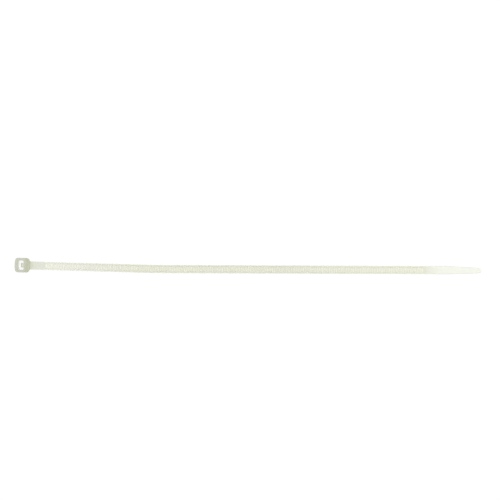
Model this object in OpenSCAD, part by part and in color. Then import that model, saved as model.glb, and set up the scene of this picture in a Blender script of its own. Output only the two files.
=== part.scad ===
// Moulded nylon cable tie, lying flat with its teeth up.
// The origin is the middle of the slot, on the face of the head that rests on the table.
// +X runs along the strap to the tail, +Z is up, towards the face that the tail enters.

/* [Overall] */
// Length from the outer end of the head to the tip of the tail
overall_l = 203; // [160:1:300]

/* [Head] */
// Height of the head, from the face that the tail leaves to the face that it enters
head_h = 4.7; // [4.4:0.1:6]
// Wall between the slot and the outer end of the head
outer_wall = 1.9; // [1.4:0.1:3]
// Wall between the slot and the strap
hinge_wall = 2.8; // [2.3:0.1:4]
// Wall on each side of the slot
side_wall = 1.1; // [0.9:0.05:2]
// Radius of the upright corners at the outer end
outer_corner_r = 1.3; // [0.8:0.05:1.6]
// Radius of the upright corners beside the strap
inner_corner_r = 1.6; // [0.8:0.05:2]
// Radius of the edges around the two faces of the head
face_edge_r = 0.35; // [0.2:0.05:0.4]
// Bulge of the outer end
end_crown = 0.12; // [0.05:0.01:0.25]
// Radius where the strap grows out of the head
neck_fillet_r = 0.5; // [0.2:0.05:0.8]
// Step from the entry face down to the toothed side of the neck
neck_step = 0.25; // [0.1:0.05:0.5]

/* [Slot] */
// Gap on each side of the strap when it runs through the slot
slot_side_gap = 0.3; // [0.15:0.05:0.5]
// Room in the slot beyond the thickness of the strap, taken up by the pawl
slot_room = 0.8; // [0.7:0.01:1.2]
// Bevel around the mouth of the slot
lead_in = 0.3; // [0.1:0.05:0.4]

/* [Pawl] */
// Width of the pawl
pawl_w = 2; // [1.6:0.1:2.3]
// Teeth on the pawl
pawl_teeth = 3; // [2:1:3]
// Play between the crests of the pawl and the roots of the strap's teeth
pawl_play = 0.19; // [0.1:0.01:0.3]
// Thickness of the pawl, from its crests to its back
pawl_t = 0.9; // [0.75:0.05:1]
// Flat on the crests of the pawl's teeth
pawl_crest_flat = 0.1; // [0.05:0.01:0.15]
// Height of the lowest crest above the exit face
pawl_foot = 0.5; // [0.3:0.05:0.8]
// Depth of the pawl's root below the entry face
pawl_set = 0.55; // [0.4:0.05:0.7]
// Height of the thin hinge that joins the pawl to its wall
hinge_h = 0.8; // [0.6:0.05:1]
// Gap behind the pawl, which lets it give way
flex_gap = 0.6; // [0.5:0.05:0.8]

/* [Strap] */
// Width of the strap
strap_w = 3.5; // [3:0.1:4.5]
// Thickness of the toothed strap
strap_t = 1.1; // [1:0.05:1.5]
// Thickness of the neck
neck_t = 1.3; // [1.2:0.05:1.6]
// Length of the plain neck, from the head to the first tooth
neck_l = 6.6; // [4:0.1:12]
// Length over which the neck thins to the toothed strap
neck_thin_l = 1.65; // [0.5:0.05:3.5]
// Width of the smooth rail on each side of the teeth
rail_w = 0.5; // [0.3:0.05:0.7]
// Radius of the long edges
edge_r = 0.2; // [0.1:0.02:0.26]

/* [Teeth] */
// Distance from one tooth to the next
tooth_pitch = 1.035; // [0.9:0.005:1.15]
// Depth of the teeth
tooth_depth = 0.38; // [0.25:0.01:0.5]
// Flat on the crest of a tooth
crest_flat = 0.2; // [0.1:0.01:0.3]
// Flat at the root between two teeth
root_flat = 0.15; // [0.05:0.01:0.25]
// Lean of the steep locking face
face_lean = 0.06; // [0.02:0.01:0.12]

/* [Tail] */
// Length of the plain tail that keeps the full width
plain_l = 9.2; // [8:0.1:20]
// Length of the narrowing end, with its rounded tip
taper_l = 15.4; // [8:0.1:25]
// Thickness of the tail
tail_t = 0.7; // [0.6:0.05:0.95]
// Length over which the strap thins to the tail
thin_l = 6.6; // [3:0.1:7.5]
// Width where the tip starts to round
tip_w = 2.4; // [1.6:0.1:2.8]
// Length of the rounded tip
tip_l = 2.4; // [1:0.1:4]

/* [Lie] */
// Length over which the strap comes down from the head to the table
drop_l = 40; // [30:1:60]
// Length of the sideways bend after that
bow_l = 14; // [8:1:30]
// Angle of the sideways bend
bow_angle = 1.45; // [0:0.05:3]

/* [Hidden] */

$fn = 48;
// The crown of the head has a long radius, so its circle is finer
crown_facets = 360;
nylon = [0.92, 0.93, 0.86];

// How far joined shapes reach into each other
sink = 0.1;
// How far a cut runs past the faces that it opens
over = 1;
// Smallest distance between two sections of the strap
hair = 0.01;

slot_l = strap_t + slot_room;
slot_w = strap_w + 2 * slot_side_gap;
head_w = slot_w + 2 * side_wall;
outer_x = -slot_l / 2 - outer_wall;
face_x = slot_l / 2 + hinge_wall;

teeth_x = face_x + neck_l;
drop_end_x = teeth_x + drop_l;
tip_x = outer_x + overall_l;
taper_x = tip_x - taper_l;
tail_x = taper_x - plain_l;
thin_x = tail_x + thin_l;
tooth_count = floor((tail_x - teeth_x) / tooth_pitch);

// Height of the strap's plain side where it leaves the head
neck_z = head_h - neck_step - neck_t;
// Steps that draw each bend, the swelling of the neck and the round of the tip
drop_steps = 16;
bow_steps = 6;
taper_steps = 5;
swell_angles = [90, 70, 50, 30, 0];
tip_angles = [0, 22, 42, 58, 70];
// Steps that draw each rounded corner of the strap's section
corner_angles = [0, 45, 90];

// Share of the way from a to a + l, from 0 to 1
function share(x, a, l) = max(0, min(1, (x - a) / l));

// The plain side of the strap above the table, and its slope
function lie(x) = neck_z * (1 + cos(180 * share(x, teeth_x, drop_l))) / 2;
function slope(x) = atan(-neck_z * PI / (2 * drop_l) * sin(180 * share(x, teeth_x, drop_l)));

// A sideways bend turns the strap, and the end of the tail turns back
function turned(x, a, l) = l * share(x, a, l) ^ 2 / 2 + max(0, x - a - l);
function bow(x) = tan(bow_angle) * (turned(x, drop_end_x, bow_l) - turned(x, thin_x, tip_x - thin_x));
function heading(x) =
    atan(tan(bow_angle) * (share(x, drop_end_x, bow_l) - share(x, thin_x, tip_x - thin_x)));

// Width and thickness along the strap, without the round of the tip
function width(x) = strap_w + (tip_w - strap_w) * share(x, taper_x, taper_l - tip_l);
function thickness(x) = neck_t + (strap_t - neck_t) * share(x, teeth_x - neck_thin_l, neck_thin_l)
    + (tail_t - strap_t) * share(x, tail_x, thin_l);

// The neck swells into the head: its sides along a circle that touches the round corners of the head,
// and its plain side along one that touches the flat face
fillet_y = strap_w / 2 + neck_fillet_r;
past_flat = max(0, fillet_y - head_w / 2 + inner_corner_r);
centre_gap = inner_corner_r + neck_fillet_r;
fillet_run = sqrt(centre_gap ^ 2 - past_flat ^ 2);
fillet_x = face_x - inner_corner_r + fillet_run;
side_reach = neck_fillet_r * fillet_run / centre_gap;
function swell(gap, reach) = neck_fillet_r - sqrt(neck_fillet_r ^ 2 - max(0, min(reach, gap)) ^ 2);
function side_swell(x) = swell(fillet_x - x, side_reach);
function back_swell(x) = swell(face_x + neck_fillet_r - x, neck_fillet_r);

// One rounded corner of the strap's section
function corner(y, z, r, start) = [
    for (a = corner_angles) [y + r * cos(start + a), z + r * sin(start + a)]
];

// Section of the strap, standing on its plain side
function section(w, t) = let (y = w / 2 - edge_r, high = t - edge_r) concat(
    corner(y, edge_r, edge_r, -90),
    corner(y, high, edge_r, 0),
    corner(-y, high, edge_r, 90),
    corner(-y, edge_r, edge_r, 180)
);

// The section at x, square to the strap
function ring(x, w) = let (h = heading(x), s = slope(x), back = back_swell(x)) [
    for (p = section(w + 2 * side_swell(x), thickness(x) + back))
        [x, bow(x), lie(x)]
        + p[0] * [-sin(h), cos(h), 0]
        + (p[1] - back) * [-sin(s) * cos(h), -sin(s) * sin(h), cos(s)]
];

// Rings from inside the head to the tip
plain_stations = concat(
    [face_x - over, fillet_x - side_reach - hair],
    [for (a = swell_angles) face_x + neck_fillet_r * (1 - sin(a))],
    [teeth_x - neck_thin_l],
    [for (i = [0 : drop_steps]) teeth_x + drop_l * i / drop_steps],
    [for (i = [1 : bow_steps]) drop_end_x + bow_l * i / bow_steps],
    [tail_x, thin_x],
    [for (i = [0 : taper_steps - 1]) taper_x + (taper_l - tip_l) * i / taper_steps]
);
last_angle = tip_angles[len(tip_angles) - 1];
strap_rings = concat(
    [for (x = plain_stations) ring(x, width(x))],
    [for (a = tip_angles) ring(tip_x - tip_l * (1 - sin(a) / sin(last_angle)), tip_w * cos(a))]
);

// Joins rings of points into a closed solid
module swept(rings) {
    n = len(rings[0]);
    last = (len(rings) - 1) * n;
    sides = [
        for (i = [0 : len(rings) - 2], j = [0 : n - 1], half = [0, 1])
            let (a = i * n + j, b = i * n + (j + 1) % n)
                half == 0 ? [a, b + n, b] : [a, a + n, b + n]
    ];
    start = [for (j = [0 : n - 1]) j];
    end = [for (j = [n - 1 : -1 : 0]) last + j];
    polyhedron([for (r = rings, p = r) p], concat([start], sides, [end]), convexity = 4);
}

// Puts a shape on the strap at x, with Z square to the plain side
module on_strap(x) {
    translate([x, bow(x), lie(x)]) rotate([0, -slope(x), heading(x)]) children();
}

// Extrudes an outline of the XZ plane across Y, w wide and centred
module across(w) {
    translate([0, w / 2, 0]) rotate([90, 0, 0]) linear_extrude(w) children();
}

// Extrudes an outline of the YZ plane along X, from one x to another
module along(from, to) {
    translate([from, 0, 0]) rotate([90, 0, 90]) linear_extrude(to - from) children();
}

// Rectangle between two corners, with its own corners rounded
module soft_rect(low, high, r) {
    translate([low.x + r, low.y]) square([high.x - low.x - 2 * r, high.y - low.y]);
    translate([low.x, low.y + r]) square([high.x - low.x, high.y - low.y - 2 * r]);
    for (x = [low.x + r, high.x - r], y = [low.y + r, high.y - r]) translate([x, y]) circle(r);
}

// The two upright posts at one end of the head, rounded around both faces
module corner_posts(x, r) {
    for (side = [-1, 1]) translate([x, side * (head_w / 2 - r), 0]) rotate_extrude() intersection() {
        soft_rect([-r, 0], [r, head_h], face_edge_r);
        square([r, head_h]);
    }
}

// The head before its slot is cut: four corner posts and what lies between them
module head_block() {
    crown_r = (head_w ^ 2 / 4 + end_crown ^ 2) / (2 * end_crown);
    outer_post_x = outer_x + outer_corner_r;
    inner_post_x = face_x - inner_corner_r;
    intersection() {
        union() {
            corner_posts(outer_post_x, outer_corner_r);
            corner_posts(inner_post_x, inner_corner_r);
            along(outer_post_x, inner_post_x)
                soft_rect([-head_w / 2, 0], [head_w / 2, head_h], face_edge_r);
            across(head_w - 2 * outer_corner_r)
                soft_rect([outer_x, 0], [inner_post_x, head_h], face_edge_r);
            across(head_w - 2 * inner_corner_r)
                soft_rect([outer_post_x, 0], [face_x, head_h], face_edge_r);
        }
        linear_extrude(head_h) translate([outer_x + crown_r, 0]) circle(crown_r, $fn = crown_facets);
    }
}

// Outline of a through hole as wide as size, with a bevelled mouth at the top
module bevelled_hole(size) {
    polygon([
        [-size / 2, -over],
        [size / 2, -over],
        [size / 2, head_h - lead_in],
        [size / 2 + lead_in + over, head_h + over],
        [-size / 2 - lead_in - over, head_h + over],
        [-size / 2, head_h - lead_in]
    ]);
}

// The slot, which the tail runs through from above
module slot() {
    intersection() {
        across(head_w) bevelled_hole(slot_l);
        along(outer_x, face_x) bevelled_hole(slot_w);
    }
}

pawl_x = -slot_l / 2 + strap_t - tooth_depth + pawl_play;
pawl_back_x = pawl_x + pawl_t;
hinge_low_z = head_h - pawl_set - hinge_h;

// Room behind the pawl, cut up into the wall from the exit face
module flex_room() {
    across(pawl_w) union() {
        translate([pawl_back_x, -over]) square([flex_gap, hinge_low_z - flex_gap / 2 + over]);
        translate([pawl_back_x + flex_gap / 2, hinge_low_z - flex_gap / 2]) circle(flex_gap / 2);
    }
}

// The tongue that locks the strap: it hangs from a thin hinge at the entry side,
// and its steep faces look down, so that the strap slips in and can't slip out
module pawl() {
    root_x = pawl_x + tooth_depth;
    face_drop = pawl_crest_flat + face_lean;
    crests = [for (i = [pawl_teeth - 1 : -1 : 0]) pawl_foot + i * tooth_pitch];
    across(pawl_w) difference() {
        polygon(concat(
            [[slot_l / 2 + flex_gap, head_h - pawl_set - sink], [slot_l / 2, head_h - pawl_set]],
            [for (z = crests, p = [[pawl_x, z], [pawl_x, z - pawl_crest_flat], [root_x, z - face_drop]]) p],
            [[pawl_back_x, pawl_foot - face_drop], [pawl_back_x, hinge_low_z - flex_gap / 2],
            [slot_l / 2 + flex_gap, hinge_low_z - flex_gap / 2]]
        ));
        translate([pawl_back_x + flex_gap / 2, hinge_low_z - flex_gap / 2]) circle(flex_gap / 2);
    }
}

// Gap between two teeth: a ramp down towards the tail, a flat root and a steep face
module tooth_gap(top) {
    ramp_l = tooth_pitch - crest_flat - root_flat - face_lean;
    steep = face_lean / tooth_depth;
    across(strap_w - 2 * rail_w) polygon([
        [-sink * ramp_l / tooth_depth, top + sink],
        [ramp_l, top - tooth_depth],
        [ramp_l + root_flat, top - tooth_depth],
        [ramp_l + root_flat + face_lean + sink * steep, top + sink]
    ]);
}

// The strap, with a row of gaps that leaves the teeth standing between two rails
module strap() {
    difference() {
        swept(strap_rings);
        for (i = [0 : tooth_count - 1]) let (x = teeth_x + i * tooth_pitch)
            on_strap(x) tooth_gap(thickness(x));
    }
}

module cable_tie() {
    color(nylon) union() {
        difference() {
            head_block();
            slot();
            flex_room();
        }
        pawl();
        strap();
    }
}

cable_tie();
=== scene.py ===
# %% [markdown]
# # A moulded cable tie
#
# A cable tie is one shot of nylon: a head with a slot, a small sprung tongue in the slot, and a
# long strap with a row of fine teeth. This lesson models it as a patient modeller would by hand.
# One tooth is made well and repeated, the strap is finished straight and only then bent, and the
# head is a block that is rounded, cut through and joined to the strap as one skin.

# %% Load the frame
import math

import bmesh
import bpy
from mathutils import Matrix, Vector


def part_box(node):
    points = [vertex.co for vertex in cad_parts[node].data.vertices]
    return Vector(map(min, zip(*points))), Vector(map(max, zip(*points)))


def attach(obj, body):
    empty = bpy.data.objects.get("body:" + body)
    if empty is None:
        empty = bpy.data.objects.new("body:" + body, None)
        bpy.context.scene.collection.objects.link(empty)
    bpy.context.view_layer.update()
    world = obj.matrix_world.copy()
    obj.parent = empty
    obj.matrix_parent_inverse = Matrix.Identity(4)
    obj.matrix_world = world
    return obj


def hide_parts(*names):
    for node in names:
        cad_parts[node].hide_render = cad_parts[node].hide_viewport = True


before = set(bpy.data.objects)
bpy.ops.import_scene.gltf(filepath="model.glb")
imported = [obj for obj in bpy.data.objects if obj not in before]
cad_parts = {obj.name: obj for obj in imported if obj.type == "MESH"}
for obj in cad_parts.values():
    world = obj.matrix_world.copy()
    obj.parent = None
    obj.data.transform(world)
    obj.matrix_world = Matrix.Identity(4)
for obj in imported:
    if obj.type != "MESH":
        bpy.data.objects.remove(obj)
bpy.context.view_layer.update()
low, high = (Vector(corner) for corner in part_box("cable_tie"))
MM = 0.001
print("the tie is", [round(size / MM, 2) for size in high - low], "mm")

# %% [markdown]
# ## The sizes
#
# The frame gives the outer box of the solid model, so the length, the height of the head and the
# width of the head come from there. The rest are the sizes of the moulding itself, in
# millimetres turned into metres, and each is named once.

# %% Name the sizes
HEAD_H = high.z
HEAD_W = -2 * low.y
OUTER_X = low.x
TIP_X = high.x
SLOT_L, SLOT_W = 1.9 * MM, 4.1 * MM
HINGE_WALL = 2.8 * MM
FACE_X = SLOT_L / 2 + HINGE_WALL

STRAP_W, STRAP_T = 3.5 * MM, 1.1 * MM
NECK_T, NECK_L, NECK_STEP = 1.3 * MM, 6.6 * MM, 0.25 * MM
CORNER_OUTER, CORNER_INNER = 1.3 * MM, 1.6 * MM
TAIL_T, PLAIN_L, TAPER_L, THIN_L = 0.7 * MM, 9.2 * MM, 15.4 * MM, 6.6 * MM
TIP_W, TIP_L = 2.4 * MM, 2.4 * MM

PITCH, TOOTH_DEPTH = 1.035 * MM, 0.38 * MM
CREST, ROOT, LEAN = 0.2 * MM, 0.15 * MM, 0.06 * MM
RAIL_W = 0.5 * MM

TEETH_X = FACE_X + NECK_L
TAIL_X = TIP_X - TAPER_L - PLAIN_L
TEETH = int((TAIL_X - TEETH_X) / PITCH)
print(TEETH, "teeth, from x =", round(TEETH_X / MM, 2), "to", round(TAIL_X / MM, 2), "mm")

# %% [markdown]
# ## Helpers for working by hand
#
# In the window we would click on faces and edges. In a script we pick them by where they are or by
# how they face, so `pick` drops the old selection and selects what passes a test. An operator then
# acts on the selection, as it does in the window.

# %% Pick by a test
TOUCH, SLIVER = 0.004 * MM, 0.01 * MM


def near(a, b):
    """True where two places are the same, give or take a hair."""
    return abs(a - b) < TOUCH


def middle(item):
    """The middle of an edge or a face."""
    if isinstance(item, bmesh.types.BMEdge):
        return (item.verts[0].co + item.verts[1].co) / 2
    return item.calc_center_median()


def runs_along(edge, axis):
    """True where an edge lies along an axis."""
    way = (edge.verts[1].co - edge.verts[0].co).normalized()
    return abs(way[axis]) > 0.99


def looks_up(face):
    """True where a face looks straight up, or nearly."""
    return face.normal.z > 0.9


def pick(kind, test):
    """Select, in edit mode, only the items of a kind that pass the test, and count them."""
    bpy.ops.mesh.select_mode(type=kind)
    bpy.ops.mesh.select_all(action="DESELECT")
    mesh = bpy.context.edit_object.data
    shape = bmesh.from_edit_mesh(mesh)
    items = {"VERT": shape.verts, "EDGE": shape.edges, "FACE": shape.faces}[kind]
    found = [item for item in items if test(item)]
    for item in found:
        item.select_set(True)
    shape.select_flush_mode()
    bmesh.update_edit_mesh(mesh)
    return len(found)


# %% [markdown]
# Nearly every step of the modelling is then one of four: move some vertices, round some edges,
# extrude what is selected, or cut right through the mesh.


# %% Move, round, extrude and cut
def move(test, step):
    """Move the vertices that pass a test."""
    pick("VERT", test)
    bpy.ops.transform.translate(value=step)


def round_edges(test, radius, segments, **settings):
    """Bevel the edges that pass a test, and count them."""
    found = pick("EDGE", test)
    bpy.ops.mesh.bevel(offset=radius, segments=segments, affect="EDGES", **settings)
    return found


def extrude(step):
    """Extrude the selection and move the new part."""
    bpy.ops.mesh.extrude_region_move(TRANSFORM_OT_translate={"value": step})


def cut(axis, places):
    """Cut right through the mesh, square to an axis, at each place."""
    for place in places:
        bpy.ops.mesh.select_mode(type="FACE")
        bpy.ops.mesh.select_all(action="SELECT")
        point, normal = [0, 0, 0], [0, 0, 0]
        point[axis], normal[axis] = place, 1
        bpy.ops.mesh.bisect(plane_co=point, plane_no=normal, threshold=0.0001 * MM)


# %% [markdown]
# Each form starts as a block between two corners, and some steps are modifiers, which are applied
# at once, as one would to go on working on the result.


# %% Add a block and apply a modifier
def add_block(name, corner_low, corner_high):
    """A cube stretched between two corners, left in edit mode with its place in its mesh."""
    bpy.ops.object.select_all(action="DESELECT")
    corner_low, corner_high = Vector(corner_low), Vector(corner_high)
    bpy.ops.mesh.primitive_cube_add(size=1, location=(corner_low + corner_high) / 2)
    block = bpy.context.object
    block.name = block.data.name = name
    block.scale = corner_high - corner_low
    bpy.ops.object.transform_apply(location=True, rotation=True, scale=True)
    bpy.ops.object.mode_set(mode="EDIT")
    return block


def finish_modifier(piece, name, kind, **settings):
    """Add a modifier to a piece, set it and apply it."""
    bpy.ops.object.select_all(action="DESELECT")
    bpy.context.view_layer.objects.active = piece
    piece.select_set(True)
    modifier = piece.modifiers.new(name, kind)
    for setting, value in settings.items():
        setattr(modifier, setting, value)
    bpy.ops.object.modifier_apply(modifier=name)


# %% [markdown]
# ## One tooth
#
# The teeth are saw-teeth: each has a steep face towards the head, which the tongue locks on, and a
# long ramp towards the tail, which the tongue slides over. They lie in a channel between two
# smooth rails. We model the slice of strap that holds one tooth, from the middle of one crest to
# the middle of the next, with open ends. A slice with every edge softened can then be repeated,
# and the seams between the copies vanish. A boolean cut for each gap would also work, but it
# would leave hard edges that are difficult to round.

# %% Block out the slice
CHANNEL_Y = STRAP_W / 2 - RAIL_W
CREST_DROP = 0.06 * MM
RAMP = PITCH - CREST - ROOT - LEAN
tooth_columns = [CREST / 2, CREST / 2 + RAMP, CREST / 2 + RAMP + ROOT, PITCH - CREST / 2]


def is_end(face):
    """True for a face that closes one of the slice's two ends."""
    return abs(face.normal.x) > 0.9


strap = add_block("strap", (0, -STRAP_W / 2, 0), (PITCH, STRAP_W / 2, STRAP_T))
pick("FACE", is_end)
bpy.ops.mesh.delete(type="ONLY_FACE")
cut(1, [-CHANNEL_Y, CHANNEL_Y])
cut(0, tooth_columns)
print("the lines of one tooth lie at", [round(x / MM, 3) for x in tooth_columns], "mm")

# %% [markdown]
# The channel is sunk by pushing its faces down, which makes its two side walls. It also makes a
# wall at each end, and those are taken away again with their loose edges. The columns of vertices
# at the root then go down to the full depth, and the crests stay just under the rails.


# %% Sink the channel and shape the tooth
def in_channel_top(face):
    return looks_up(face) and abs(middle(face).y) < CHANNEL_Y


pick("FACE", in_channel_top)
extrude((0, 0, -CREST_DROP))
ends = pick("FACE", is_end)
bpy.ops.mesh.delete(type="ONLY_FACE")
bpy.ops.mesh.select_all(action="SELECT")
bpy.ops.mesh.delete_loose(use_faces=False)


def at_root(vertex):
    at_column = near(vertex.co.x, tooth_columns[1]) or near(vertex.co.x, tooth_columns[2])
    return at_column and near(vertex.co.z, STRAP_T - CREST_DROP)


move(at_root, (0, 0, CREST_DROP - TOOTH_DEPTH))
print(ends, "end walls are taken away, so the slice is open")

# %% [markdown]
# Moulded edges are never sharp. The long outer edges get a clear radius, because they catch the
# light along the whole strap, and the rails and the teeth a very small one.

# %% Soften the slice
TOOTH_EDGE, RAIL_EDGE, STRAP_EDGE = 0.03 * MM, 0.035 * MM, 0.2 * MM


def tooth_edge(edge):
    place = middle(edge)
    at_column = any(near(place.x, column) for column in tooth_columns)
    in_channel = near(place.y, 0) and STRAP_T / 3 < place.z < STRAP_T - CREST_DROP / 2
    return runs_along(edge, 1) and at_column and in_channel


def rail_edge(edge):
    place = middle(edge)
    return runs_along(edge, 0) and near(abs(place.y), CHANNEL_Y) and near(place.z, STRAP_T)


def outer_edge(edge):
    place = middle(edge)
    level = near(place.z, 0) or near(place.z, STRAP_T)
    return runs_along(edge, 0) and near(abs(place.y), STRAP_W / 2) and level


round_edges(tooth_edge, TOOTH_EDGE, segments=2, clamp_overlap=True)
round_edges(rail_edge, RAIL_EDGE, segments=2, clamp_overlap=True)
round_edges(outer_edge, STRAP_EDGE, segments=3, clamp_overlap=True)
bpy.ops.object.mode_set(mode="OBJECT")
print("one tooth has", len(strap.data.polygons), "faces")

# %% [markdown]
# ## The row of teeth
#
# An Array modifier repeats the slice and welds each copy to the last one, so that the row is one
# skin with open ends.

# %% Repeat the tooth
finish_modifier(
    strap, "row", "ARRAY",
    count=TEETH,
    use_relative_offset=False,
    use_constant_offset=True,
    constant_offset_displace=(PITCH, 0, 0),
    use_merge_vertices=True,
    merge_threshold=0.002 * MM,
)
ROW_L = TEETH * PITCH
print("the row is", round(ROW_L / MM, 2), "mm long")

# %% [markdown]
# ## The neck and the tail
#
# Both are drawn out of the row's open ends, one ring at a time, as they would be in the window:
# extrude the ring, then move or scale it. The channel is levelled off first. The neck is a little
# thicker, and swells where it grows out of the head. The tail thins, narrows and ends in a
# rounded tip. Until it is bent, the strap lies along X with the start of its teeth at zero.

# %% Draw out rings
EDGE_REACH = 0.05 * MM


def draw_out(x, step):
    """Extrude the open ring at x along X, and give the new ring's place."""
    pick("EDGE", lambda edge: all(near(vertex.co.x, x) for vertex in edge.verts))
    extrude((step, 0, 0))
    return x + step


def level_channel(x):
    """Bring the channel, with its walls' softened edges, up flush with the rails at a ring."""
    reach = CHANNEL_Y + EDGE_REACH
    pick("VERT", lambda v: near(v.co.x, x) and abs(v.co.y) < reach and v.co.z > STRAP_T / 2)
    bpy.ops.transform.resize(value=(1, 1, 0), center_override=(x, 0, STRAP_T))


def raise_top(x, above, rise):
    """Move the upper side of a ring up or down."""
    move(lambda vertex: near(vertex.co.x, x) and vertex.co.z > above, (0, 0, rise))


def widen(x, factor, thick=1.0, z=0.0):
    """Scale a ring in its own plane."""
    pick("VERT", lambda vertex: near(vertex.co.x, x))
    bpy.ops.transform.resize(value=(1, factor, thick), center_override=(x, 0, z))


# %% [markdown]
# The neck comes first. A short ring levels the channel, and the next one is where the neck has its
# full thickness.

# %% Draw out the neck
LEVEL_L = 0.15 * MM
NECK_THIN_L = 1.65 * MM

bpy.ops.object.mode_set(mode="EDIT")
x = draw_out(0, -LEVEL_L)
level_channel(x)
x = draw_out(x, LEVEL_L - NECK_THIN_L)
raise_top(x, STRAP_T / 2, NECK_T - STRAP_T)
print("the neck has its full thickness", round(-x / MM, 2), "mm before the teeth")

# %% [markdown]
# Towards the head the neck swells along fillets, at both sides and underneath. A fillet is an arc
# that touches two surfaces. At the sides these are the neck and the rounded corner of the head, so
# the centre of the fillet and the centre of the corner lie as far apart as their two radii
# together. Each ring is widened, and its underside lowered, by what the fillets have grown there.

# %% Swell the neck into the head
NECK_FILLET = 0.5 * MM
INTO_HEAD = 1.0 * MM
SWELL_ANGLES = (0, 20, 40, 60, 75, 90)

head_face = CREST / 2 - NECK_L
past_flat = max(0, STRAP_W / 2 + NECK_FILLET - HEAD_W / 2 + CORNER_INNER)
centre_gap = CORNER_INNER + NECK_FILLET
fillet_run = math.sqrt(centre_gap ** 2 - past_flat ** 2)
side_start = head_face - CORNER_INNER + fillet_run
side_reach = NECK_FILLET * fillet_run / centre_gap
under_start = head_face + NECK_FILLET


def swell(place, start, reach):
    """How far a fillet that starts at one place along X has grown at another."""
    gone = max(0, min(reach, start - place))
    return NECK_FILLET - math.sqrt(NECK_FILLET ** 2 - gone ** 2)


side, under = 0, 0
ring_places = [head_face + NECK_FILLET * (1 - math.sin(math.radians(a))) for a in SWELL_ANGLES]
ring_places.append(side_start - side_reach - SLIVER)
for place in ring_places:
    x = draw_out(x, place - x)
    side_now = swell(x, side_start, side_reach)
    under_now = swell(x, under_start, NECK_FILLET)
    widen(x, (STRAP_W / 2 + side_now) / (STRAP_W / 2 + side))
    move(lambda v: near(v.co.x, x) and v.co.z < NECK_T / 3, (0, 0, under - under_now))
    side, under = side_now, under_now
neck_root = draw_out(x, head_face - INTO_HEAD - x)
print("the neck reaches x =", round(neck_root / MM, 2), "mm before it is placed")

# %% [markdown]
# At the other end the channel is levelled in the same way. The tail's top then comes down along
# half a wave of the cosine, so that it starts and ends without a kink.

# %% Draw out the tail
THIN_STEPS = 4

x = draw_out(ROW_L, LEVEL_L)
level_channel(x)
thinned = 0.0
for step in range(1, THIN_STEPS + 1):
    x = draw_out(x, ROW_L + THIN_L * step / THIN_STEPS - x)
    now = (STRAP_T - TAIL_T) * (1 - math.cos(math.pi * step / THIN_STEPS)) / 2
    raise_top(x, STRAP_T / 3, thinned - now)
    thinned = now
print("the tail is", round((STRAP_T - thinned) / MM, 2), "mm thick")

# %% [markdown]
# The taper runs in straight lines from the full width to the width of the tip. The tip is drawn
# as most of a quarter turn: each ring is narrower by the cosine of its angle and a little thinner,
# so that the end comes out blunt and rounded, which makes it easy to thread.

# %% Narrow the tail and round its tip
TAPER_STEPS = 4
TIP_ANGLES = (15, 30, 43, 55, 65, 73)
TIP_THINNING = 0.35
STRAIGHT_L = TIP_X - TEETH_X + CREST / 2

x = draw_out(x, STRAIGHT_L - TAPER_L - x)
width, thick = STRAP_W, 1.0
for step in range(1, TAPER_STEPS + 1):
    x = draw_out(x, (TAPER_L - TIP_L) / TAPER_STEPS)
    wanted = STRAP_W + (TIP_W - STRAP_W) * step / TAPER_STEPS
    widen(x, wanted / width)
    width = wanted

tip_start = x
for angle in TIP_ANGLES:
    turn = math.radians(angle)
    reach = TIP_L * math.sin(turn) / math.sin(math.radians(TIP_ANGLES[-1]))
    x = draw_out(x, tip_start + reach - x)
    wanted = TIP_W * math.cos(turn)
    wanted_thick = 1 - TIP_THINNING * (1 - math.cos(turn))
    widen(x, wanted / width, wanted_thick / thick, TAIL_T / 2)
    width, thick = wanted, wanted_thick
print("the last ring is", round(width / MM, 2), "mm wide")

# %% [markdown]
# Both ends are still open. The root of the neck will be hidden in the head, and the last ring of
# the tip is small, so one face is enough to close each.

# %% Close both ends
bpy.ops.mesh.select_all(action="SELECT")
bpy.ops.mesh.remove_doubles(threshold=0.001 * MM)
for end in (neck_root, x):
    pick("EDGE", lambda edge: all(near(vertex.co.x, end) for vertex in edge.verts))
    bpy.ops.mesh.edge_face_add()
bpy.ops.mesh.select_all(action="SELECT")
bpy.ops.mesh.normals_make_consistent(inside=False)
bpy.ops.object.mode_set(mode="OBJECT")
print("the straight strap ends", round(x / MM, 2), "mm past its first crest")

# %% [markdown]
# ## The lie of the strap
#
# A loose tie rests on the exit face of its head and on its strap. The strap leaves the head high
# up, next to the face that the tail enters, comes down to the table in a long S, and then bends a
# little sideways, as this one does in the photograph. First we say where the strap lies.

# %% Say where the strap lies
DROP_L, BOW_L = 40 * MM, 14 * MM
BOW_SLOPE = math.tan(math.radians(1.45))
DROP_END_X = TEETH_X + DROP_L
THIN_X = TAIL_X + THIN_L
NECK_Z = HEAD_H - NECK_STEP - NECK_T


def share(place, start, length):
    """How far a place is from start to start + length, from 0 to 1."""
    return max(0.0, min(1.0, (place - start) / length))


def turned(place, start, length):
    """How far a bend of slope 1 has carried the strap sideways."""
    return length * share(place, start, length) ** 2 / 2 + max(0.0, place - start - length)


def lie(place):
    """The strap's plain side at a place along X."""
    height = NECK_Z * (1 + math.cos(math.pi * share(place, TEETH_X, DROP_L))) / 2
    sideways = turned(place, DROP_END_X, BOW_L) - turned(place, THIN_X, TIP_X - THIN_X)
    return Vector((place, BOW_SLOPE * sideways, height))


print("the tip lies", round(lie(TIP_X).y / MM, 2), "mm beside the middle of the head")

# %% [markdown]
# The strap is bent with a Curve modifier, because that turns every tooth with the strap. The guide
# is one polyline along the strap's plain side, and the straight strap is stretched to its length,
# less a hair, so that the tip doesn't run past the guide's end.

# %% Bend the strap along a guide
GUIDE_POINTS = 600
GUIDE_SLACK = 0.001 * MM

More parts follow.
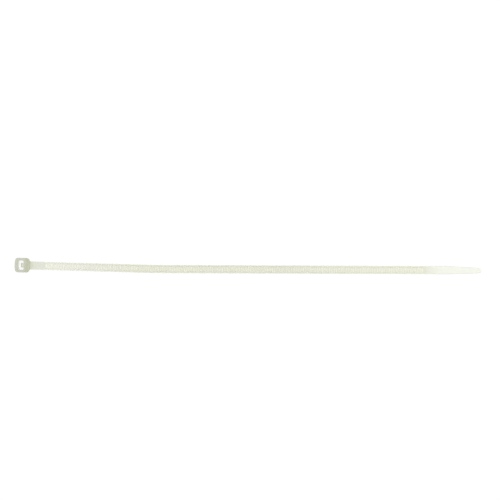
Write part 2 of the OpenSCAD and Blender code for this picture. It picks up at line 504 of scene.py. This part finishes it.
guide_start = FACE_X - INTO_HEAD
guide_run = TIP_X - guide_start
guide_places = [lie(guide_start + guide_run * i / GUIDE_POINTS) for i in range(GUIDE_POINTS + 1)]
guide_length = sum((b - a).length for a, b in zip(guide_places, guide_places[1:]))
guide_data = bpy.data.curves.new("guide", "CURVE")
guide_data.dimensions = "3D"
guide_data.twist_mode = "Z_UP"
spline = guide_data.splines.new("POLY")
spline.points.add(GUIDE_POINTS)
for point, place in zip(spline.points, guide_places):
    point.co = (*place, 1)
guide = bpy.data.objects.new("guide", guide_data)
bpy.context.collection.objects.link(guide)

bpy.ops.object.mode_set(mode="EDIT")
bpy.ops.mesh.select_all(action="SELECT")
bpy.ops.transform.translate(value=(-neck_root, 0, 0))
stretch = (guide_length - GUIDE_SLACK) / (STRAIGHT_L - neck_root)
bpy.ops.transform.resize(value=(stretch, 1, 1), center_override=(0, 0, 0))
bpy.ops.object.mode_set(mode="OBJECT")
finish_modifier(strap, "lie", "CURVE", object=guide, deform_axis="POS_X")
bpy.data.objects.remove(guide)
lowest = [min(v.co[axis] for v in strap.data.vertices) / MM for axis in range(3)]
highest = [max(v.co[axis] for v in strap.data.vertices) / MM for axis in range(3)]
print("the bent strap runs from", [round(n, 2) for n in lowest], "to", [round(n, 2) for n in highest])

# %% [markdown]
# ## The head
#
# The head is a small block with a rectangular hole. Its upright corners are rounder on the
# strap's side, the outer end is slightly crowned, and the edges of both faces are eased. It starts
# as a block and gets its corners by bevels.

# %% Round the upright corners
END_CROWN = 0.12 * MM
END_X = OUTER_X + END_CROWN


def outer_corner(edge):
    return runs_along(edge, 2) and middle(edge).x < 0


def inner_corner(edge):
    return runs_along(edge, 2) and near(middle(edge).x, FACE_X)


head = add_block("head", (END_X, -HEAD_W / 2, 0), (FACE_X, HEAD_W / 2, HEAD_H))
corners = round_edges(outer_corner, CORNER_OUTER, segments=6)
corners += round_edges(inner_corner, CORNER_INNER, segments=8)
print(corners, "upright corners are rounded")

# %% [markdown]
# The crown needs lines to bend: the block is cut across its outer end, and each line there moves
# out along a parabola. Then the edges round both faces are eased in one go.

# %% Crown the outer end and ease the faces
FACE_EDGE = 0.35 * MM
CROWN_HALF = HEAD_W / 2 - CORNER_OUTER
CROWN_CUTS = 7

crown_shares = [2 * i / (CROWN_CUTS + 1) - 1 for i in range(1, CROWN_CUTS + 1)]
cut(1, [CROWN_HALF * across for across in crown_shares])
for across in crown_shares:
    move(
        lambda v: near(v.co.x, END_X) and near(v.co.y, CROWN_HALF * across),
        (-END_CROWN * (1 - across ** 2), 0, 0),
    )


def on_rim(edge):
    z = middle(edge).z
    flat = near(edge.verts[0].co.z, edge.verts[1].co.z)
    around = any(abs(face.normal.z) < 0.5 for face in edge.link_faces)
    return flat and around and (near(z, 0) or near(z, HEAD_H))


rim_edges = round_edges(on_rim, FACE_EDGE, segments=4)
bpy.ops.object.mode_set(mode="OBJECT")
print(rim_edges, "edges run round the two faces of the head")

# %% [markdown]
# The slot is cut with a boolean, because its mouth has to flare all round while the tongue's room
# opens only at the bottom. Its cutter is a block too. The upright edges are rounded, because a
# mould has no sharp inner corners, and the top is flared for the bevel that leads the tail in.

# %% Make the slot's cutter
LEAD_IN = 0.3 * MM
PAST = 1.0 * MM
SLOT_CORNER = 0.35 * MM

slot_low = (-SLOT_L / 2, -SLOT_W / 2, -PAST)
slot_high = (SLOT_L / 2, SLOT_W / 2, HEAD_H - LEAD_IN)
flare = LEAD_IN + PAST
slot = add_block("slot_cutter", slot_low, slot_high)
round_edges(lambda edge: runs_along(edge, 2), SLOT_CORNER, segments=4)
pick("FACE", looks_up)
extrude((0, 0, flare))
bpy.ops.transform.resize(
    value=(1 + 2 * flare / SLOT_L, 1 + 2 * flare / SLOT_W, 1),
    center_override=(0, 0, HEAD_H + PAST),
)
bpy.ops.object.mode_set(mode="OBJECT")
print("the mouth of the slot is", round((SLOT_W + 2 * LEAD_IN) / MM, 2), "mm wide")

# %% [markdown]
# ## The tongue
#
# The tongue, or pawl, hangs in the slot from a thin hinge beside the entry face. Its back is free,
# so it gives way as the ramps of the strap push past, and its steep faces look down and catch the
# steep faces of the strap's teeth. Behind it the wall has a pocket for it to swing into, open at
# the bottom. The pocket's roof is rounded by a little less than half its depth, so that the two
# rounded edges don't meet.

# %% Make the pocket's cutter
PAWL_W, PAWL_T, PAWL_TEETH = 2.0 * MM, 0.9 * MM, 3
PAWL_PLAY, PAWL_CREST = 0.19 * MM, 0.1 * MM
PAWL_FOOT, PAWL_SET, HINGE_H = 0.5 * MM, 0.55 * MM, 0.8 * MM
FLEX_GAP = 0.6 * MM
ROOF_ROUND = FLEX_GAP * 0.49
PAWL_X = -SLOT_L / 2 + STRAP_T - TOOTH_DEPTH + PAWL_PLAY
PAWL_BACK = PAWL_X + PAWL_T
POCKET_BACK = PAWL_BACK + FLEX_GAP
PAWL_TOP = HEAD_H - PAWL_SET
HINGE_LOW = PAWL_TOP - HINGE_H


def roof_edge(edge):
    return runs_along(edge, 1) and near(middle(edge).z, HINGE_LOW)


pocket_low, pocket_high = (PAWL_BACK, -PAWL_W / 2, -PAST), (POCKET_BACK, PAWL_W / 2, HINGE_LOW)
pocket = add_block("pocket_cutter", pocket_low, pocket_high)
round_edges(roof_edge, ROOF_ROUND, segments=5)
bpy.ops.object.mode_set(mode="OBJECT")
print("the pocket is", round(HINGE_LOW / MM, 2), "mm high")

# %% [markdown]
# The tongue itself is a block whose front is cut into bands. Every third line is pushed back to
# make the teeth, which have the pitch and the depth of the strap's.

# %% Cut the tongue's teeth
FACE_DROP = PAWL_CREST + LEAN

crest_heights = [PAWL_FOOT + i * PITCH for i in range(PAWL_TEETH)]
pawl_low, pawl_high = PAWL_FOOT - FACE_DROP, crest_heights[-1]
pawl = add_block("pawl", (PAWL_X, -PAWL_W / 2, pawl_low), (PAWL_BACK, PAWL_W / 2, pawl_high))
lines = [z - part for z in crest_heights for part in (0, PAWL_CREST, FACE_DROP)]
cut(2, [line for line in lines if pawl_low + SLIVER < line < pawl_high - SLIVER])


def on_root_line(vertex):
    at_line = any(near(vertex.co.z, z - FACE_DROP) for z in crest_heights)
    return near(vertex.co.x, PAWL_X) and at_line


move(on_root_line, (TOOTH_DEPTH, 0, 0))
print("the tongue reaches", round((SLOT_L / 2 - PAWL_X) / MM, 2), "mm into the slot")

# %% [markdown]
# Above the teeth the block is drawn out twice and its front is tilted into the ramp that the tail
# meets first. Last, the hinge is drawn out of its back, over the pocket and into the wall.

# %% Draw out the ramp and the hinge
RAMP_END, HINGE_BITE = 0.05 * MM, 0.3 * MM

ramp_rise = PAWL_TOP - pawl_high
ramp_run = SLOT_L / 2 - PAWL_X
ramp_at_back = pawl_high + ramp_rise * PAWL_T / ramp_run
ramp_x = PAWL_X + ramp_run * (HINGE_LOW - pawl_high) / ramp_rise
pick("FACE", looks_up)
extrude((0, 0, HINGE_LOW - pawl_high))
move(lambda v: near(v.co.x, PAWL_X) and near(v.co.z, HINGE_LOW), (ramp_x - PAWL_X, 0, 0))
pick("FACE", lambda face: looks_up(face) and near(middle(face).z, HINGE_LOW))
extrude((0, 0, ramp_at_back - HINGE_LOW))
move(
    lambda v: near(v.co.x, ramp_x) and near(v.co.z, ramp_at_back),
    (PAWL_BACK - RAMP_END - ramp_x, 0, -RAMP_END * ramp_rise / ramp_run),
)
pick("FACE", lambda face: face.normal.x > 0.9 and middle(face).z > HINGE_LOW)
extrude((FLEX_GAP + HINGE_BITE, 0, 0))
move(
    lambda v: v.co.x > POCKET_BACK and v.co.z > ramp_at_back - SLIVER,
    (0, 0, PAWL_TOP - ramp_at_back),
)
bpy.ops.object.mode_set(mode="OBJECT")
print("the hinge is", round(HINGE_H / MM, 2), "mm high at its root in the wall")

# %% [markdown]
# ## One skin
#
# The real tie is a single shot of nylon, so the pieces become one closed skin. The head is cut
# with its two cutters and takes in the tongue. A narrow bevel then eases every edge that the cuts
# left, and last the strap is joined on, with the swelling of its neck as the fillet.

# %% Cut and join
EASE, EASE_ANGLE = 0.05 * MM, math.radians(38)


def combine(piece, other, operation):
    """Cut or join one solid with another, and throw the other away."""
    finish_modifier(
        piece, operation.lower(), "BOOLEAN",
        object=other,
        operation=operation,
        solver="EXACT",
    )
    bpy.data.objects.remove(other)


combine(head, slot, "DIFFERENCE")
combine(head, pocket, "DIFFERENCE")
combine(head, pawl, "UNION")
finish_modifier(
    head, "ease", "BEVEL",
    width=EASE,
    segments=2,
    limit_method="ANGLE",
    angle_limit=EASE_ANGLE,
    use_clamp_overlap=True,
)
combine(head, strap, "UNION")
print("the joined skin has", len(head.data.polygons), "faces")

# %% [markdown]
# Any doubled vertices are merged, and every face is made to look outwards. Smooth shading up to an
# angle leaves the sharper edges crisp. The skin then takes the place of the solid model's one
# node, rides on its one body and gets the nylon's slot.

# %% Finish the skin
SMOOTH_ANGLE = math.radians(32)

tie = head
tie.name = tie.data.name = "tie_moulding"
bpy.ops.object.mode_set(mode="EDIT")
bpy.ops.mesh.select_all(action="SELECT")
bpy.ops.mesh.remove_doubles(threshold=0.0002 * MM)
bpy.ops.mesh.normals_make_consistent(inside=False)
bpy.ops.object.mode_set(mode="OBJECT")
bpy.ops.object.shade_smooth_by_angle(angle=SMOOTH_ANGLE)
print("the moulding has", len(tie.data.polygons), "faces")

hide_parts("cable_tie")
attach(tie, "root")

# %% [markdown]
# ## Painted light in the thin and shaded places
#
# Light wanders about inside natural nylon, so it looks paler where it is thin or has light on both
# sides. Here that paleness is painted on, and the same paint is painted light in shaded places: down
# in the slot, on the tongue, at the roots of the teeth and a little on the two rails. By hand this
# would be painted on the vertices with a soft brush. Here every vertex gets it from its place, as an
# attribute that the material reads, because the paint then follows the bent strap exactly.

# %% Paint light into the thin and shaded places
HAIR = 0.02 * MM
RAIL_PAINTED_LIGHT = 0.08
TONGUE_FADE = 0.7
DEEPEST = 1.5


def thinness(place):
    """How much painted light a place gets, from 0 in the bulk to 1."""
    # Painted light down in the slot and on the tongue, less towards the far wall and the slot's ends.
    inside_x = abs(place.x) < SLOT_L / 2 + HAIR
    inside_y = abs(place.y) < SLOT_W / 2 + HAIR
    if inside_x and inside_y and place.z < HEAD_H - LEAD_IN / 2:
        to_wall = share(place.x, PAWL_X, SLOT_L / 2 - PAWL_X)
        to_side = share(abs(place.y), SLOT_W / 2 - SLOT_CORNER, SLOT_CORNER)
        return (1 - TONGUE_FADE * to_wall) * (1 - to_side)
    # On the strap: painted light at the roots of the teeth, where shade falls, and a little on the
    # rails.
    plain_side = lie(place.x)
    sunk = (plain_side.z + STRAP_T - place.z) / TOOTH_DEPTH
    if not TEETH_X < place.x < TAIL_X or sunk > DEEPEST:
        return 0.0
    in_channel = abs(place.y - plain_side.y) < CHANNEL_Y + HAIR
    return max(0.0, sunk / 2) if in_channel else RAIL_PAINTED_LIGHT


# The painted light is stored on the vertices for the material to read.
thin = tie.data.attributes.new("thin", "FLOAT", "POINT")
thin.data.foreach_set("value", [thinness(vertex.co) for vertex in tie.data.vertices])
print(sum(mark.value > 0 for mark in thin.data), "vertices are painted as thin")

# %% [markdown]
# ## The nylon
#
# Natural nylon has no pigment: it is a milky, faintly yellow-green plastic. Subsurface scattering
# gives the milkiness.

# %% Start the nylon
MILKINESS, LIGHT_REACH, NYLON_IOR = 0.35, 0.6 * MM, 1.53

nylon = bpy.data.materials.new("natural_nylon")
nylon.use_nodes = True
tree = nylon.node_tree
shader = tree.nodes["Principled BSDF"]
shader.inputs["IOR"].default_value = NYLON_IOR
shader.inputs["Subsurface Weight"].default_value = MILKINESS
shader.inputs["Subsurface Radius"].default_value = (1.0, 1.0, 1.0)
shader.inputs["Subsurface Scale"].default_value = LIGHT_REACH


def from_screen(red, green, blue):
    """A colour as a screen shows it, from 0 to 255, turned into light by the sRGB curve."""
    def light(value):
        value /= 255
        return value / 12.92 if value <= 0.04045 else ((value + 0.055) / 1.055) ** 2.4
    return light(red), light(green), light(blue), 1.0


def add_node(kind, **sockets):
    """Add a node to the nylon, and give each named socket a value or link it to an output."""
    node = tree.nodes.new(kind)
    for name, value in sockets.items():
        socket = node.inputs[name.replace("_", " ")]
        if isinstance(value, bpy.types.NodeSocket):
            tree.links.new(value, socket)
        else:
            socket.default_value = value
    return node


def scaled(colour, factor):
    """A colour made lighter or darker by a factor."""
    node = add_node("ShaderNodeVectorMath")
    node.operation = "SCALE"
    tree.links.new(colour, node.inputs[0])
    tree.links.new(factor, node.inputs["Scale"])
    return node.outputs[0]


# %% [markdown]
# How the tint deepens with thickness is a ramp along the tie, since the moulding's thickness
# changes mostly with X: the head is the deepest, then the neck and the strap, and the tail is
# palest. The ramp is partly the nylon's own deeper tone where it is thick, and partly painted
# light: the glow of the table below, coming through the thin parts, is put into their colour.
# Each stop is a place and the nylon's tone there.

# %% Tint it along the tie
HEAD_TONE, HINGE_WALL_TONE = (178, 180, 167), (168, 172, 145)
NECK_ROOT_TONE, NECK_TONE, NECK_END_TONE = (188, 191, 172), (201, 202, 189), (204, 205, 195)
SLOPE_TONE, STRAP_TONE, STRAP_END_TONE = (202, 202, 194), (196, 197, 182), (206, 207, 192)
PLAIN_TONE, TAIL_TONE = (213, 214, 201), (220, 222, 212)
HINGE_WALL_X, NECK_ROOT_X = FACE_X - 0.6 * MM, FACE_X + 0.3 * MM

# The paler stops towards the tail are partly painted light, the table's glow coming through the
# nylon.
stops = [
    (SLOT_L / 2, HEAD_TONE),
    (HINGE_WALL_X, HINGE_WALL_TONE),
    (NECK_ROOT_X, NECK_ROOT_TONE),
    (FACE_X + NECK_L / 3, NECK_TONE),
    (TEETH_X, NECK_END_TONE),
    (TEETH_X + DROP_L / 2, SLOPE_TONE),
    (DROP_END_X, STRAP_TONE),
    ((DROP_END_X + TAIL_X) / 2, STRAP_TONE),
    (TAIL_X, STRAP_END_TONE),
    (TAIL_X + PITCH, PLAIN_TONE),
    (THIN_X, TAIL_TONE),
]
places = add_node("ShaderNodeTexCoord")
split = add_node("ShaderNodeSeparateXYZ", Vector=places.outputs["Object"])
along = add_node("ShaderNodeMapRange", Value=split.outputs["X"], From_Min=OUTER_X, From_Max=TIP_X)
tint = add_node("ShaderNodeValToRGB", Fac=along.outputs[0])
ramp = tint.color_ramp
while len(ramp.elements) < len(stops):
    ramp.elements.new(0.5)
for element, (place, colour) in zip(ramp.elements, stops):
    element.position = (place - OUTER_X) / (TIP_X - OUTER_X)
    element.color = from_screen(*colour)
print("the tint changes over", len(stops), "stops")

# %% [markdown]
# Where a rim rounds off, the light takes a longer way through the nylon. Another ramp, on how far a
# face looks up, paints that shade on the rims: hardly on the toothed strap, and clearly on the thin
# tail. The painted light then takes the thin and shaded places nearly white.

# %% Paint shade on the rims and light into the thin and shaded places
RIM_SHADE_START = 0.5
STRAP_RIM_SHADE, TAIL_RIM_SHADE = 0.97, 0.55
PAINTED_LIGHT_TONE = (250, 250, 236)

# Painted shade: faces that turn sideways are darkened, a little on the strap and most on the tail.
facing = add_node("ShaderNodeSeparateXYZ", Vector=places.outputs["Normal"])
rim_shade_depth = add_node("ShaderNodeMapRange", Value=split.outputs["X"], From_Min=TAIL_X, From_Max=THIN_X,
                    To_Min=STRAP_RIM_SHADE, To_Max=TAIL_RIM_SHADE)
painted_rim_shade = add_node("ShaderNodeMapRange", Value=facing.outputs["Z"], From_Min=RIM_SHADE_START,
               To_Min=rim_shade_depth.outputs[0])
# Painted light: the attribute mixes the colour towards nearly white.
painted = add_node("ShaderNodeAttribute")
painted.attribute_name = "thin"
painted_light_mix = add_node("ShaderNodeMix")
painted_light_mix.data_type = "RGBA"
tree.links.new(painted.outputs["Fac"], painted_light_mix.inputs["Factor"])
tree.links.new(scaled(tint.outputs[0], painted_rim_shade.outputs[0]), painted_light_mix.inputs["A"])
painted_light_mix.inputs["B"].default_value = from_screen(*PAINTED_LIGHT_TONE)

# %% [markdown]
# Low, wide noise makes the colour and the gloss a little uneven, and fine noise in the bump gives
# the satin of a spark-eroded mould.

# %% Make it uneven and satin
CLOUD_SCALE, CLOUD_DARK, CLOUD_LIGHT = 90.0, 0.985, 1.015
SMOOTHEST, ROUGHEST = 0.33, 0.47
SATIN_SCALE, SATIN_STRENGTH, SATIN_HEIGHT = 6000.0, 0.15, 0.01 * MM

cloud = add_node("ShaderNodeTexNoise", Vector=places.outputs["Object"], Scale=CLOUD_SCALE, Detail=3.0)
milky = add_node("ShaderNodeMapRange", Value=cloud.outputs[0], To_Min=CLOUD_DARK, To_Max=CLOUD_LIGHT)
gloss = add_node("ShaderNodeMapRange", Value=cloud.outputs[0], To_Min=SMOOTHEST, To_Max=ROUGHEST)
grain = add_node("ShaderNodeTexNoise", Vector=places.outputs["Object"], Scale=SATIN_SCALE, Detail=2.0)
satin = add_node("ShaderNodeBump", Height=grain.outputs[0], Strength=SATIN_STRENGTH,
                 Distance=SATIN_HEIGHT)
uneven = scaled(painted_light_mix.outputs["Result"], milky.outputs[0])
tree.links.new(uneven, shader.inputs["Base Color"])
tree.links.new(gloss.outputs[0], shader.inputs["Roughness"])
tree.links.new(satin.outputs[0], shader.inputs["Normal"])

tie.data.materials.clear()
tie.data.materials.append(nylon)
print("the nylon has", len(tree.nodes), "nodes")

# %% [markdown]
# ## The table and the light
#
# The photograph is a catalogue picture: a white ground, light from all round and no shadow. A
# white sheet under a lamp would take a shadow from the tie, so the floor is a light table: it
# glows an even white by itself and reflects little, which also lights the slot from below.

# %% Lay the glowing floor
TABLE_MIDDLE = Vector(((OUTER_X + TIP_X) / 2, 0, 0))
FLOOR_SIZE, FLOOR_DROP = 3, 0.01 * MM
FLOOR_GREY, FLOOR_GLOW = 0.08, 0.92

bpy.ops.object.select_all(action="DESELECT")
bpy.ops.mesh.primitive_plane_add(size=FLOOR_SIZE, location=(TABLE_MIDDLE.x, 0, -FLOOR_DROP))
floor = bpy.context.object
floor.name = "floor"
sheet = bpy.data.materials.new("glowing_sheet")
sheet.use_nodes = True
paper = sheet.node_tree.nodes["Principled BSDF"]
paper.inputs["Base Color"].default_value = (FLOOR_GREY, FLOOR_GREY, FLOOR_GREY, 1)
paper.inputs["Roughness"].default_value = 0.9
paper.inputs["Specular IOR Level"].default_value = 0.1
paper.inputs["Emission Color"].default_value = (1, 1, 1, 1)
paper.inputs["Emission Strength"].default_value = FLOOR_GLOW
floor.data.materials.append(sheet)
print("the floor is", FLOOR_SIZE, "m wide, so that its edges stay out of the picture")

# %% [markdown]
# The rest of the light is an even white sky, and one broad soft lamp, up on the head's side, that
# models the teeth.

# %% Add the sky and the lamp
SKY_GLOW = 1.18
LAMP_WIDTH, LAMP_POWER = 0.5, 2.0
LAMP_PLACE = TABLE_MIDDLE + Vector((-0.7, 0.25, 0.8))

sky = bpy.data.worlds.new("even_sky")
sky.use_nodes = True
sky.node_tree.nodes["Background"].inputs["Color"].default_value = (1, 1, 1, 1)
sky.node_tree.nodes["Background"].inputs["Strength"].default_value = SKY_GLOW
bpy.context.scene.world = sky

lamp_data = bpy.data.lights.new("soft_lamp", "AREA")
lamp_data.shape = "DISK"
lamp_data.size = LAMP_WIDTH
lamp_data.energy = LAMP_POWER
lamp = bpy.data.objects.new("soft_lamp", lamp_data)
lamp.location = LAMP_PLACE
lamp.rotation_euler = (TABLE_MIDDLE - LAMP_PLACE).to_track_quat("-Z", "Y").to_euler()
bpy.context.collection.objects.link(lamp)
print("the lamp stands", round((LAMP_PLACE - TABLE_MIDDLE).length, 2), "m from the tie")

# %% [markdown]
# ## The camera
#
# The photograph looks straight down, from over the middle of the strap. The nearer a camera is,
# the further the slot's outer wall hides the gap beside the tongue. That gap is wide and white
# here, so the camera stands far off and has a long lens. In the frame of 500 by 500 pixels the
# outer end of the head and the tip of the tail lie at two known places, which then set the lens,
# the camera's place and its slight turn.

# %% Place the camera
FRAME_PX = 500
HEAD_PX = Vector((14.55, 264.95))
TIP_PX = Vector((481.5, 270.8))
CAMERA_HEIGHT = 4.0


def seen(pixel, height):
    """The way from the frame's middle to a pixel, times the depth from the camera to a height."""
    from_middle = pixel - Vector((FRAME_PX / 2, FRAME_PX / 2))
    return Vector((from_middle.x, -from_middle.y)) * (CAMERA_HEIGHT - height)


head_place, tip_place = Vector((OUTER_X, 0)), Vector((TIP_X, lie(TIP_X).y))
run, run_seen = tip_place - head_place, seen(TIP_PX, TAIL_T) - seen(HEAD_PX, HEAD_H)
focal_px = run_seen.length / run.length
camera_turn = -run_seen.angle_signed(run)
head_seen = seen(HEAD_PX, HEAD_H) / focal_px
head_seen.rotate(Matrix.Rotation(camera_turn, 2))
centre = head_place - head_seen

camera_data = bpy.data.cameras.new("camera")
camera_data.sensor_width = 36
camera_data.lens = camera_data.sensor_width * focal_px / FRAME_PX
camera = bpy.data.objects.new("camera", camera_data)
camera.location = (centre.x, centre.y, CAMERA_HEIGHT)
camera.rotation_euler = (0, 0, camera_turn)
bpy.context.collection.objects.link(camera)
bpy.context.scene.camera = camera
bpy.context.scene.view_settings.view_transform = "Standard"
print("the lens is", round(camera_data.lens), "mm long")
print("the camera is turned by", round(math.degrees(camera_turn), 2), "degrees")
